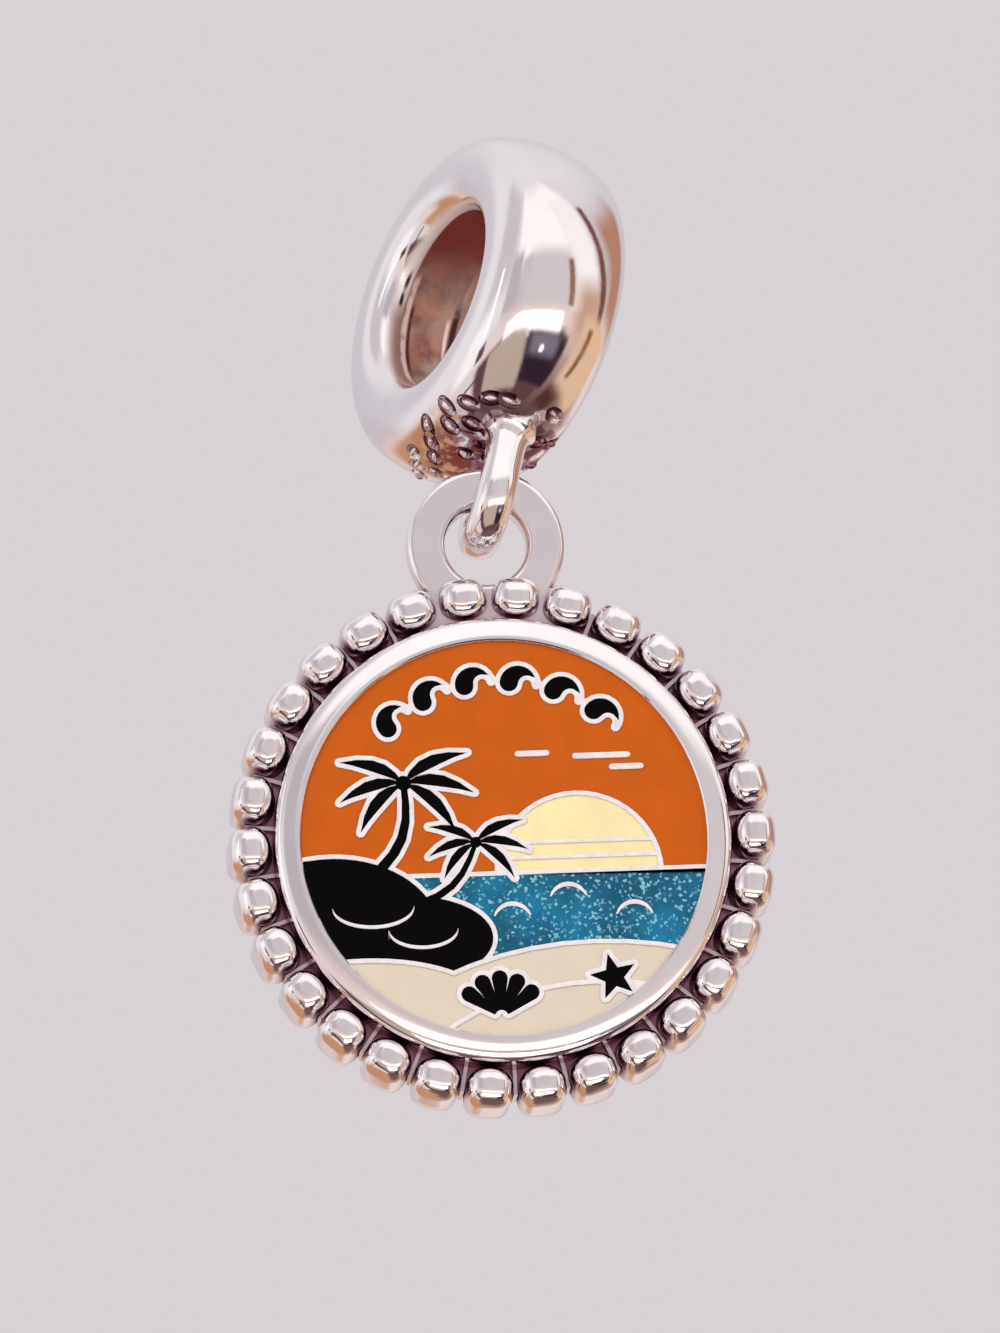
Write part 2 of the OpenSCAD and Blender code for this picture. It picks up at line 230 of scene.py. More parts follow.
def revolve(profile, steps):
    """Turns a closed profile of (radius, height) about z."""
    bm = bmesh.new()
    rings = []
    for i in range(steps):
        turn = 2 * math.pi * i / steps
        rings.append([bm.verts.new((r * math.cos(turn), r * math.sin(turn), h))
                      for r, h in profile])
    count = len(profile)
    for i in range(steps):
        here, there = rings[i], rings[(i + 1) % steps]
        for k in range(count):
            m = (k + 1) % count
            if profile[k][0] < ON_AXIS and profile[m][0] < ON_AXIS:
                continue
            bm.faces.new((here[k], there[k], there[m], here[m]))
    bmesh.ops.remove_doubles(bm, verts=bm.verts, dist=SAME_POINT)
    bmesh.ops.dissolve_degenerate(bm, edges=bm.edges, dist=ON_AXIS)
    return bm


def arc(centre, radius, start, end, steps):
    """Points on an arc of (radius, height), angles in degrees."""
    points = []
    for i in range(steps + 1):
        a = math.radians(start + (end - start) * i / steps)
        points.append((centre[0] + radius * math.cos(a), centre[1] + radius * math.sin(a)))
    return points


def loft(rings):
    """Joins rings of points, all of one count, and closes the two ends with fans."""
    bm = bmesh.new()
    made = [[bm.verts.new(p) for p in ring] for ring in rings]
    count = len(made[0])
    for a, b in zip(made, made[1:]):
        for k in range(count):
            m = (k + 1) % count
            bm.faces.new((a[k], a[m], b[m], b[k]))
    for ring in (made[0], made[-1]):
        middle = bm.verts.new(sum((v.co for v in ring), Vector()) / count)
        for k in range(count):
            bm.faces.new((ring[k], ring[(k + 1) % count], middle))
    return bm


def evaluated_mesh(piece):
    """The mesh that a piece's modifiers or curve settings make."""
    bpy.context.view_layer.update()
    graph = bpy.context.evaluated_depsgraph_get()
    return bpy.data.meshes.new_from_object(piece.evaluated_get(graph))


def combine(piece, tool, operation):
    """Cuts or joins two closed meshes and removes the tool."""
    step = piece.modifiers.new(operation, "BOOLEAN")
    step.operation = operation
    step.solver = "MANIFOLD"
    step.object = tool
    mesh = evaluated_mesh(piece)
    piece.modifiers.clear()
    piece.data = mesh
    bpy.data.objects.remove(tool)
    return piece


# Edges sharper than this stay creased
CREASE = math.radians(32)


def finish_piece(piece, body, material, nodes=()):
    """Smooth shading with creases kept, material, body, slot and replaced nodes."""
    piece.data.shade_smooth()
    piece.data.set_sharp_from_angle(angle=CREASE)
    piece.data.materials.clear()
    piece.data.materials.append(material)
    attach(piece, body)
    if nodes:
        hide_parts(*nodes)
    return piece


# Material helpers

# How many features of each kind a material shows to a metre
PAPER_GRAIN = 60.0
POLISH_PATCHES = 420.0
SWELLS = 500.0
CASTING_WAVES = 650.0
DEPTH_PATCHES = 700.0
TARNISH_PATCHES = 900.0
MOTTLES = 1100.0
BORE_BLOTCHES = 1300.0
BROKEN_LINES = 1500.0
SMUDGES = 2400.0
WEAR_MARKS = 2600.0
GLOSS_PATCHES = 3000.0
BRUSHING = 5200.0
PINHOLES = 5200.0
HAIRLINES = 9000.0
GLITTER_FLAKES = 15000.0


class Wiring:
    """Short ways to add nodes to one material or to the world."""

    def __init__(self, owner, coordinate="Object"):
        owner.use_nodes = True
        owner.node_tree.nodes.clear()
        self.nodes = owner.node_tree.nodes
        self.links = owner.node_tree.links
        self.place = self.add("TexCoord").outputs[coordinate]

    def add(self, kind, inputs=None, **settings):
        """A node with its settings, and a link or a value for each of its inputs."""
        node = self.nodes.new("ShaderNode" + kind)
        for name, value in settings.items():
            setattr(node, name, value)
        for socket, value in (inputs or {}).items():
            if isinstance(value, bpy.types.NodeSocket):
                self.links.new(value, node.inputs[socket])
            else:
                node.inputs[socket].default_value = value
        return node

    def surface(self, inputs):
        """The shader of a material, with its inputs."""
        shader = self.add("BsdfPrincipled", inputs)
        self.add("OutputMaterial", {"Surface": shader.outputs["BSDF"]})

    def noise(self, scale, detail=4.0, roughness=0.5):
        """Noise with so many features to a metre."""
        return self.add("TexNoise", {"Scale": scale, "Detail": detail, "Roughness": roughness,
                                     "Vector": self.place}).outputs["Fac"]

    def cells(self, scale):
        """Cells, so many to a metre."""
        return self.add("TexVoronoi", {"Scale": scale, "Vector": self.place}).outputs

    def spread(self, value, low, high, to_low=0.0, to_high=1.0):
        """A smooth step from one value to another as the input goes from low to high."""
        inputs = {"From Min": low, "From Max": high, "To Min": to_low, "To Max": to_high,
                  "Value": value}
        return self.add("MapRange", inputs, interpolation_type="SMOOTHSTEP").outputs["Result"]

    def mix(self, share, *colours):
        """A blend of two colours: the first where the share is 0, the second where it is 1."""
        first, second = (c if isinstance(c, bpy.types.NodeSocket) else (*c, 1.0)
                         for c in colours)
        return self.add("Mix", {0: share, 6: first, 7: second}, data_type="RGBA").outputs[2]

    def maths(self, operation, *values):
        inputs = dict(enumerate(values))
        return self.add("Math", inputs, operation=operation).outputs["Value"]

    def vector_maths(self, operation, *values):
        return self.add("VectorMath", dict(enumerate(values)), operation=operation).outputs

    def window(self, value, centre, half, soft):
        """1 within half of the centre and 0 beyond, with a soft edge; degrees."""
        centre, half, soft = (math.radians(v) for v in (centre, half, soft))
        off = self.maths("ABSOLUTE", self.maths("SUBTRACT", value, centre))
        return self.spread(off, half - soft / 2, half + soft / 2, 1.0, 0.0)

    def recess(self, reach):
        """How open a point is: 1 on open ground, 0 deep in a recess."""
        return self.add("AmbientOcclusion", {"Distance": reach}, samples=8).outputs["AO"]

    def parts(self):
        """The three coordinates of the place."""
        return self.add("SeparateXYZ", {"Vector": self.place}).outputs

    def along_bore(self):
        """Distance along the bore from the bail's middle plane."""
        return self.vector_maths("DOT_PRODUCT", self.place, bore_axis())["Value"]

    def from_foot(self):
        """Distance from the foot of the loop on the bail's band."""
        s = bpy.context.scene.charm_bail
        foot = bail_turn() @ Vector((s.loop_shift, 0, -s.outer / 2))
        return self.vector_maths("DISTANCE", self.place, foot)["Value"]

    def from_bore(self):
        """Distance from the bore's axis, which runs through the frame's origin."""
        cross = self.vector_maths("CROSS_PRODUCT", self.place, bore_axis())["Vector"]
        return self.vector_maths("LENGTH", cross)["Value"]

    def bump(self, height, distance, strength=1.0, **under):
        """A bump, on top of another one where its Normal is given."""
        inputs = {"Height": height, "Distance": distance, "Strength": strength, **under}
        return self.add("Bump", inputs).outputs["Normal"]


def new_material(name):
    material = bpy.data.materials.new(name)
    return material, Wiring(material)


def bore_edge():
    """Where the cast inside of the bore starts and stops turning into polished lip."""
    bore = bpy.context.scene.charm_bail.bore / 2
    return bore + 0.02 * MM, bore + 0.16 * MM


# Painted highlight and painted shade lines round the inside of the bore, standing in for
#  reflections on its rings: whether on both sides of the bail's middle plane, distance from that
#  plane, half-width, lowest and highest point in millimetres, colour
PAINTED_BORE_LINES = (
    (True, 1.1, 0.07, -2.2, 1.6, (1.0, 0.84, 0.80)),
    (True, 0.96, 0.045, -2.0, 0.9, (0.12, 0.04, 0.04)),
    (True, 1.34, 0.045, 0.5, 1.7, (0.03, 0.015, 0.015)),
    (False, 0.12, 0.05, -1.7, 0.6, (1.0, 0.80, 0.76)),
    (False, 0.3, 0.08, -2.1, 1.0, (0.05, 0.02, 0.02)),
)
# The height over which a line fades in or out at its ends, in millimetres
LINE_FADE = 0.3


def bore_tone(w):
    """Inside of the bore: blotched brown cast metal, darker at the top and the bottom, with a
    painted highlight on the lips' upper parts and painted highlight and shade lines along its
    rings."""
    bore = tuple(bpy.context.scene.charm_colours.bore)
    height, along = w.parts()["Z"], w.along_bore()
    far = w.maths("ABSOLUTE", along)

    def scaled(*factors):
        return tuple(c * f for c, f in zip(bore, factors))

    def step(value, low, high, to_low=0.0, to_high=1.0):
        return w.spread(value, low * MM, high * MM, to_low, to_high)

    dark_blotch, pale_patch = scaled(0.5, 0.42, 0.55), scaled(1.0, 1.6, 1.85)
    red_top, purple_foot = scaled(0.6, 0.22, 0.25), scaled(0.36, 0.34, 0.58)
    low_lip, lip_highlight = scaled(0.75, 0.95, 1.1), (0.95, 0.88, 0.86)
    # steps are in millimetres above the bore's axis, or away from the middle plane
    tone = w.mix(w.spread(w.noise(BORE_BLOTCHES, 4.0, 0.6), 0.35, 0.62), dark_blotch, bore)
    pale = w.maths("MULTIPLY", step(height, 1.4, -1.0, 0.35, 0.95),
                   w.spread(w.noise(TARNISH_PATCHES, 4.0), 0.42, 0.6))
    tone = w.mix(pale, tone, pale_patch)
    tone = w.mix(step(height, 1.2, 2.3), tone, red_top)
    tone = w.mix(step(height, -1.4, -2.3), tone, purple_foot)
    # the lips turn near white towards the top: a painted highlight
    lip = w.mix(step(height, 0.3, 1.2), low_lip, lip_highlight)
    tone = w.mix(step(far, 1.18, 1.24), tone, lip)
    broken = w.spread(w.noise(BROKEN_LINES, 2.0), 0.36, 0.5, 0.25, 1.0)
    # painted highlight and painted shade lines along the bore's rings
    for both_sides, centre, half, low, high, rgb in PAINTED_BORE_LINES:
        off = w.maths("SUBTRACT", far if both_sides else along, centre * MM)
        line = step(w.maths("ABSOLUTE", off), half * 0.5, half * 1.5, 1.0, 0.0)
        for end, inside in ((low, low + LINE_FADE), (high, high - LINE_FADE)):
            line = w.maths("MULTIPLY", line, step(height, end, inside))
        tone = w.mix(w.maths("MULTIPLY", line, broken), tone, rgb)
    return tone


def foot_smudges(w):
    """Dark smudges on the band round the loop's foot, but not on the loop itself."""
    band = bpy.context.scene.charm_bail.outer / 2
    near = w.spread(w.from_foot(), 1.2 * MM, 2.5 * MM, 0.95, 0.0)
    on_band = w.spread(w.from_bore(), band + 0.02 * MM, band + 0.1 * MM, 1.0, 0.0)
    return w.maths("MULTIPLY", w.maths("MULTIPLY", near, on_band),
                   w.spread(w.noise(SMUDGES, 3.0), 0.38, 0.52))


def polished_silver(name, reach, open_at, on_bail=False, groove=None, fin_tops=None):
    """Cast and polished silver: soft waves, fine scratches, and recesses darkened by tarnish
    and by painted shade where another surface is within reach, up to the openness open_at.
    With a groove, only what lies that far back in the part gets tarnish and painted shade, and
    the fins' tops keep half their brightness. On the bail, the bore stays as it was cast, with
    painted highlights and painted shade inside it, and the loop's foot is smudged."""
    colours = bpy.context.scene.charm_colours
    silver, tarnish_and_shade = tuple(colours.silver), tuple(colours.tarnish_and_shade)
    material, w = new_material(name)
    # share left bright: recesses within reach darken, partly tarnish and partly painted shade
    clean_and_unshaded = w.maths("MULTIPLY", w.spread(w.recess(reach), 0.08, open_at),
                    w.spread(w.noise(TARNISH_PATCHES, 3.0), 0.2, 0.55, 0.93, 1.0))
    # with a groove, painted shade and tarnish fall only on what lies far back; fins' tops get
    # half
    if groove:
        depth = w.parts()["Y"]
        clean_and_unshaded = w.maths("MAXIMUM", clean_and_unshaded, w.spread(depth, *groove, 1.0, 0.0))
        off = w.maths("ABSOLUTE", w.maths("SUBTRACT", depth, fin_tops))
        clean_and_unshaded = w.maths("MAXIMUM", clean_and_unshaded, w.spread(off, 0.01 * MM, 0.03 * MM, 0.5, 0.0))
    duller = tuple(c * f for c, f in zip(silver, (0.96, 0.95, 0.96)))
    polish = w.mix(w.spread(w.noise(POLISH_PATCHES, 2.0), 0.35, 0.7), silver, duller)
    tone = w.mix(clean_and_unshaded, tarnish_and_shade, polish)
    wear = w.spread(w.noise(WEAR_MARKS, 5.0, 0.65), 0.3, 0.75, 0.045, 0.11)
    rough = w.maths("ADD", wear, w.spread(clean_and_unshaded, 0.0, 0.9, 0.3, 0.0))
    metallic = 1.0
    if on_bail:
        tone = w.mix(foot_smudges(w), tone, tarnish_and_shade)
        inside = w.spread(w.from_bore(), *bore_edge(), 1.0, 0.0)
        tone = w.mix(inside, tone, bore_tone(w))
        rough = w.maths("ADD", rough, w.maths("MULTIPLY", inside, 0.3))
        metallic = w.maths("MULTIPLY_ADD", inside, -0.45, 1.0)
    waves = w.bump(w.noise(CASTING_WAVES, 2.0), 0.006 * MM)
    hairlines = w.bump(w.noise(HAIRLINES, 3.0, 0.7), 0.0006 * MM, Normal=waves)
    w.surface({"Base Color": tone, "Roughness": rough, "Metallic": metallic,
               "Normal": hairlines})
    return material


def satin_silver(name):
    """The metal lines of the picture: brushed bright, with fine grain."""
    silver = bpy.context.scene.charm_colours.silver
    material, w = new_material(name)
    dull, bright = tuple(c * 0.93 for c in silver), tuple(min(1.0, c * 1.05) for c in silver)
    w.surface({
        "Base Color": w.mix(w.spread(w.noise(BRUSHING), 0.3, 0.7), dull, bright),
        "Roughness": w.spread(w.noise(WEAR_MARKS, 5.0), 0.3, 0.75, 0.22, 0.36),
        "Metallic": 0.6,
    })
    return material


def enamel_material(name, rgb, mottle, shine=0.22):
    """Glossy enamel: faint mottling, pinholes and a slightly uneven surface."""
    material, w = new_material(name)
    darker = tuple(c * (1.0 - mottle) for c in rgb)
    tone = w.mix(w.spread(w.noise(MOTTLES), 0.3, 0.7), darker, rgb)
    pinhole = w.spread(w.cells(PINHOLES)["Distance"], 0.03, 0.1)
    swell = w.bump(w.noise(SWELLS, 2.0), 0.012 * MM)
    w.surface({
        "Base Color": w.mix(pinhole, darker, tone),
        "Roughness": w.spread(w.noise(GLOSS_PATCHES, 3.0), 0.3, 0.7, 0.08, 0.2),
        "Specular IOR Level": shine,
        "Normal": w.bump(pinhole, 0.002 * MM, 0.4, Normal=swell),
    })
    return material


def glitter_enamel(name, rgb, flake):
    """Enamel with flakes that catch the light."""
    material, w = new_material(name)
    pick = w.add("SeparateColor", {"Color": w.cells(GLITTER_FLAKES)["Color"]}).outputs
    bright = w.spread(pick["Red"], 0.78, 0.95)
    deep, shallow = tuple(c * 0.55 for c in rgb), tuple(min(1.0, c * 1.3) for c in rgb)
    base = w.mix(w.spread(w.noise(DEPTH_PATCHES), 0.3, 0.7), deep, shallow)
    w.surface({
        "Base Color": w.mix(bright, base, flake),
        "Metallic": w.spread(pick["Red"], 0.7, 0.95, 0.0, 0.7),
        "Roughness": w.spread(pick["Green"], 0.0, 1.0, 0.18, 0.45),
        "Specular IOR Level": 0.25,
        "Normal": w.bump(pick["Blue"], 0.01 * MM, 0.8),
    })
    return material


# Bail

# The bore's wall: share of the way from the middle plane to a lip, share of the ridge's height
BORE_WALL = ((-1, 0), (-0.5, 0), (0.28, 0), (0.34, 0.7), (0.4, 1), (0.46, 0.7), (0.52, 0),
             (0.75, 0))
RIDGE_HIGH = 0.07 * MM
# Steps along the arcs of a lip, a shoulder and the crown
LIP_STEPS, SHOULDER_STEPS, CROWN_STEPS = 12, 14, 10


def shoulder_centre():
    """The centre of a shoulder's round as (radius, distance along the bore)."""
    s = bpy.context.scene.charm_bail
    return s.outer / 2 - s.crown - s.shoulder, s.width / 2 - s.shoulder


def bail_profile():
    """The section of the bail's wall as (radius, distance along the bore)."""
    s = bpy.context.scene.charm_bail
    outer, bore, inner_half = s.outer / 2, s.bore / 2, s.width / 2 - s.lip
    shoulder_c, shoulder_x = shoulder_centre()
    spare = (shoulder_x ** 2 + s.crown ** 2) / (2 * s.crown)
    crown_r = s.shoulder + spare
    meet = math.degrees(math.asin(shoulder_x / spare))
    points = [(bore - RIDGE_HIGH * lift, inner_half * share) for share, lift in BORE_WALL]
    # upper lip, side, shoulder, crown and back down
    points += arc((bore + s.lip, inner_half), s.lip, 180, 90, LIP_STEPS)
    points += arc((shoulder_c, shoulder_x), s.shoulder, 90, meet, SHOULDER_STEPS)
    points += arc((outer - crown_r, 0), crown_r, meet, -meet, CROWN_STEPS)[1:-1]
    points += arc((shoulder_c, -shoulder_x), s.shoulder, -meet, -90, SHOULDER_STEPS)
    points += arc((bore + s.lip, -inner_half), s.lip, -90, -180, LIP_STEPS)[:-1]
    return points


def on_shoulder(turn, beta):
    """The place on the bail's shoulder, beta degrees round from the band to the side."""
    shoulder_c, shoulder_x = shoulder_centre()
    return (Matrix.Rotation(math.radians(turn), 4, "X")
            @ Matrix.Translation((-shoulder_x, 0, -shoulder_c))
            @ Matrix.Rotation(math.radians(beta), 4, "Y")
            @ Matrix.Translation((0, 0, -bpy.context.scene.charm_bail.shoulder)))


# Rows of ovals beside the loop's feet: how far round the shoulder, turns about the bore
LEFT_ROWS = ((6, (-23, -11, 13, 25)), (27, (-17, -5, 7, 19)), (47, (-10, 3)))
RIGHT_ROWS = ((10, (-25, -13)), (40, (-12, 1, 14)))
# The row on the band itself, and how far out it runs towards the left shoulder
BAND_TURNS = (-25, 2, 21, 32)
BAND_SHARE = 0.6
# Ovals lie slanted, and more so the further they stand from the loop
SLANT, SLANT_GROWTH = 20, 2
# An oval's radius as a share of the shoulder's, how grooves and raised ovals are stretched, and
# how far in the raised ones are set, as a share of their radius
OVAL_SHARE = 0.2
GROOVE_SHAPE = (1.5, 1, 0.8)
RAISED_SHAPE = (0.85, 0.38, 0.95)
RAISED_INSET = 0.5


def ornament_places():
    places = []
    for side, rows in ((1, LEFT_ROWS), (-1, RIGHT_ROWS)):
        for beta, turns in rows:
            for turn in turns:
                slant = Matrix.Rotation(math.radians(SLANT + turn * SLANT_GROWTH), 4, "Z")
                places.append(Matrix.Diagonal((side, 1, 1, 1)) @ on_shoulder(turn, beta) @ slant)
    half_band = shoulder_centre()[1]
    band = -bpy.context.scene.charm_bail.outer / 2
    for turn in BAND_TURNS:
        places.append(Matrix.Rotation(math.radians(turn), 4, "X")
                      @ Matrix.Translation((-half_band * BAND_SHARE, 0, band)))
    return places


def oval_meshes(shape, inset=0.0):
    """One closed oval for each place of the ornament."""
    radius = bpy.context.scene.charm_bail.shoulder * OVAL_SHARE
    fit = Matrix.Diagonal((*shape, 1))
    meshes = []
    for place in ornament_places():
        oval = bmesh.new()
        bmesh.ops.create_icosphere(oval, subdivisions=3, radius=radius)
        oval.transform(place @ Matrix.Translation((0, 0, radius * inset)) @ fit)
        meshes.append(mesh_of("oval", oval))
    return meshes


def loop_place():
    """The loop's own place, which turns about its foot on the band."""
    s = bpy.context.scene.charm_bail
    return (Matrix.Translation((s.loop_shift, 0, -s.outer / 2))
            @ Euler((0, s.loop_lean, s.loop_twist), "XYZ").to_matrix().to_4x4()
            @ Matrix.Translation((0, 0, s.outer / 2)))


# The solder at the loop's feet: how much thicker it makes the wire, and over what length
SOLDER_SWELL = 0.42
SOLDER_REACH = 0.16 * MM
# How fast the wire's flat sides run into its rounds
FLAT_BLEND = 3


def loop_rings():
    """Sections of the loop's wire, from inside the bail's wall round to the other leg."""
    s = bpy.context.scene.charm_bail
    middle = s.loop_width / 2 + s.wire_thick / 2
    bend_z = -(s.outer / 2 + s.loop_depth - s.loop_width / 2)
    root_z = -(s.outer + s.bore) / 4
    foot_z = -math.sqrt((s.outer / 2) ** 2 - middle ** 2)
    path = []
    leg_steps, bend_steps = 22, 40
    for i in range(leg_steps):
        z = root_z + (bend_z - root_z) * i / leg_steps
        path.append((Vector((0, -middle, z)), Vector((0, 1, 0))))
    for i in range(bend_steps + 1):
        a = math.pi * i / bend_steps
        out = Vector((0, -math.cos(a), -math.sin(a)))
        path.append((Vector((0, 0, bend_z)) + out * middle, -out))
    for i in range(1, leg_steps + 1):
        z = bend_z + (root_z - bend_z) * i / leg_steps
        path.append((Vector((0, middle, z)), Vector((0, -1, 0))))
    rings = []
    flat = (s.wire_wide - s.wire_thick) / 2
    r = s.wire_thick / 2
    for centre, inward in path:
        below = max(0.0, foot_z - centre.z)
        fillet = 1.0 + SOLDER_SWELL * math.exp(-below / SOLDER_REACH)
        ring = []
        for k in range(WIRE_SIDES):
            a = 2 * math.pi * k / WIRE_SIDES
            side = math.cos(a)
            across = flat * math.copysign(min(1.0, abs(side) * FLAT_BLEND), side) + r * side
            ring.append(centre + inward * (r * math.sin(a) * fillet)
                        + Vector((1, 0, 0)) * (across * fillet))
        rings.append(ring)
    return rings


def build_bail():
    upright = Matrix.Rotation(math.radians(90), 4, "Y")
    ring = new_piece("bail_and_loop", revolve(bail_profile(), BAIL_STEPS), upright)
    ring = combine(ring, joined("grooves", oval_meshes(GROOVE_SHAPE)), "DIFFERENCE")
    loop = new_piece("loop", loft(loop_rings()), loop_place())
    ring = combine(ring, loop, "UNION")
    for oval in oval_meshes(RAISED_SHAPE, RAISED_INSET):
        ring = combine(ring, new_object("raised_oval", oval), "UNION")
    ring.data.transform(bail_turn())
    return ring


# Medallion

# How far the plate reaches past the middles of the edge beads
PLATE_REACH = 0.1 * MM
# The small bevel at the rim's inner edge, and how square the rim's outer rounding is
RIM_TIP = 0.03 * MM
RIM_FULLNESS = 0.5
RIM_STEPS = 24


def plate_radius():
    s = bpy.context.scene.charm_medallion
    return s.outer / 2 - s.bead_long / 2 + PLATE_REACH


def body_profile():
    """Half of the medallion's body, with the recess of the picture field."""
    s = bpy.context.scene.charm_medallion
    front, back = s.thick / 2, -s.thick / 2
    rim, field, plate = s.rim / 2, s.field / 2, plate_radius()
    flat = field + s.rim_flat
    floor = front - s.line_drop - s.cell
    points = [(0, back), (plate - s.chamfer, back), (plate, back + s.chamfer),
              (plate, back + s.plate), (rim, back + s.plate)]
    fall = s.rim_round * s.rim_slope
    for i in range(RIM_STEPS + 1):
        a = math.radians(90 * i / RIM_STEPS)
        out, up = math.cos(a) ** RIM_FULLNESS, math.sin(a) ** RIM_FULLNESS
        points.append((flat + (rim - flat) * out,
                       front - fall * out - (s.rim_round - fall) * (1 - up)))
    points += [(field + RIM_TIP, front), (field, front - RIM_TIP), (field, floor), (0, floor)]
    return points


# An edge bead: how full its dome is, how much faster its inner end rounds off, how far that end
# is drawn in by the dome's edge, and how square its outer and inner ends are
BEAD_FULLNESS = 0.62
INNER_ROUNDING = 1.4
INNER_DRAW = 0.28
OUTER_SQUARENESS = 3.2
INNER_SQUARENESS = 2.1
BEAD_STEPS = 18
# Levels of its foot, as the height in millimetres and the share of the bead's full size, and of
# its straight side, as shares of the side's height
BEAD_FOOT = ((0.0, 0.9), (0.05, 0.97), (0.14, 1.0))
BEAD_SIDE = (0.45, 0.75)


def bead_rings():
    """Sections of one edge bead, from its foot to its rounded top, drawn at the origin:
    squarish at its outer end and drawn in a little towards the rim."""
    s = bpy.context.scene.charm_medallion
    top = s.thick / 2 - s.bead_drop
    foot = -s.thick / 2 + s.chamfer
    edge = top - s.bead_dome
    levels = [(foot + rise * MM, size) for rise, size in BEAD_FOOT]
    levels += [(foot + (edge - foot) * share, 1.0) for share in BEAD_SIDE]
    for i in range(BEAD_STEPS):
        a = math.radians(90 * i / BEAD_STEPS)
        levels.append((edge + s.bead_dome * math.sin(a), math.cos(a) ** BEAD_FULLNESS))
    rings = []
    for z, size in levels:
        climb = min(1.0, max(0.0, (z - foot) / (edge - foot)))
        inner = size ** INNER_ROUNDING * (1 - INNER_DRAW * climb)
        ring = []
        for k in range(BEAD_SIDES):
            a = 2 * math.pi * k / BEAD_SIDES
            x, y = math.cos(a), math.sin(a)
            power, long = (OUTER_SQUARENESS, size) if y > 0 else (INNER_SQUARENESS, inner)
            reach = (abs(x) ** power + abs(y) ** power) ** (-1 / power)
            ring.append(Vector((x * reach * s.bead_wide / 2 * size,
                                y * reach * s.bead_long / 2 * long, z)))
        rings.append(ring)
    return rings


def edge_beads():
    s = bpy.context.scene.charm_medallion
    to_ring = Matrix.Translation((0, (s.outer - s.bead_long) / 2, 0))
    bead = mesh_of("bead", loft(bead_rings()))
    copies = []
    for i in range(s.bead_count):
        turn = Matrix.Rotation(2 * math.pi * (i + 0.5) / s.bead_count, 4, "Z")
        copies.append(bead.copy())
        copies[-1].transform(turn @ to_ring)
    bpy.data.meshes.remove(bead)
    return joined("beads", copies)


# How far a fin runs into the rim, and past the plate's edge into the beads
FIN_OVERLAP = 0.1 * MM


def edge_fins():
    """Thin upright walls from the rim out to the plate's edge, one between each two beads."""
    s = bpy.context.scene.charm_medallion
    inner, outer = s.rim / 2 - FIN_OVERLAP, plate_radius() + FIN_OVERLAP
    low = -s.thick / 2 + s.chamfer
    high = -s.thick / 2 + s.plate + s.fin_high
    middle = Matrix.Translation((0, (inner + outer) / 2, (low + high) / 2))
    size = Matrix.Diagonal((s.fin, outer - inner, high - low, 1))
    fins = bmesh.new()
    for i in range(s.bead_count):
        made = bmesh.ops.create_cube(fins, size=1.0)["verts"]
        turn = Matrix.Rotation(2 * math.pi * i / s.bead_count, 4, "Z")
        bmesh.ops.transform(fins, matrix=turn @ middle @ size, verts=made)
    return new_piece("fins", fins)


# Steps along each of the eyelet's rounded edges
BEVEL_STEPS = 7


def eyelet_profile():
    s = bpy.context.scene.charm_medallion
    inner, outer, half, b = s.hole / 2, s.eyelet / 2, s.eyelet_thick / 2, s.bevel
    points = []
    for centre, start in (((outer - b, half - b), 0), ((inner + b, half - b), 90),
                          ((inner + b, b - half), 180), ((outer - b, b - half), 270)):
        points += arc(centre, b, start, start + 90, BEVEL_STEPS)
    return points


# The web behind the beads: its width and thickness as shares of the eyelet's, and how far it
# runs in under the rim
WEB_WIDE, WEB_THICK = 0.9, 0.98
WEB_ROOT = 0.3 * MM


def eyelet():
    """The ring, and a web behind the beads that joins it to the plate."""
    s = bpy.context.scene.charm_medallion
    ring = new_piece("eyelet", revolve(eyelet_profile(), EYELET_STEPS),
                     Matrix.Translation((0, eyelet_rise(), 0)))
    web = bmesh.new()
    bmesh.ops.create_cube(web, size=1.0)
    low, high = s.rim / 2 - WEB_ROOT, s.outer / 2 - s.bead_long / 4
    web.transform(Matrix.Translation((0, (low + high) / 2, 0))
                  @ Matrix.Diagonal((s.eyelet * WEB_WIDE, high - low,
                                     s.eyelet_thick * WEB_THICK, 1)))
    return combine(ring, new_piece("web", web), "UNION")


def build_medallion():
    body = new_piece("medallion_casting", revolve(body_profile(), MEDALLION_STEPS))
    for part in (edge_beads(), edge_fins(), eyelet()):
        body = combine(body, part, "UNION")
    body.data.transform(medallion_place())
    return body


# Picture field

# How flat a CAD face has to lie to be a front face, how finely its corners are compared, in
# decimals of a millimetre, and how far the lines' outer edge runs into the rim, in millimetres
FLATNESS = 0.01 * MM
CORNER_DECIMALS = 4
FIELD_OVERLAP = 0.01
LINE_BEVEL_STEPS = 2


def front_loops(node):
    """The outlines of a CAD enamel node's front face, drawn flat in the medallion's place."""
    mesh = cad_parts[node].data
    flat = medallion_place().inverted()
    points = [flat @ v.co for v in mesh.vertices]
    top = max(p.z for p in points)
    sides = {}
    for face in mesh.polygons:
        spots = [points[i] for i in face.vertices]
        if min(p.z for p in spots) < top - FLATNESS:
            continue
        keys = [tuple(round(c / MM, CORNER_DECIMALS) for c in p.xy) for p in spots]
        for a, b in zip(keys, keys[1:] + keys[:1]):
            if a != b:
                sides[(a, b)] = True
    edges = {a: b for a, b in sides if (b, a) not in sides}
    loops = []
    while edges:
        start, here = edges.popitem()
        loop = [start]
        while here != start and here in edges:
            loop.append(here)
            here = edges.pop(here)
        if len(loop) > 2:
            loops.append(loop)
    return loops


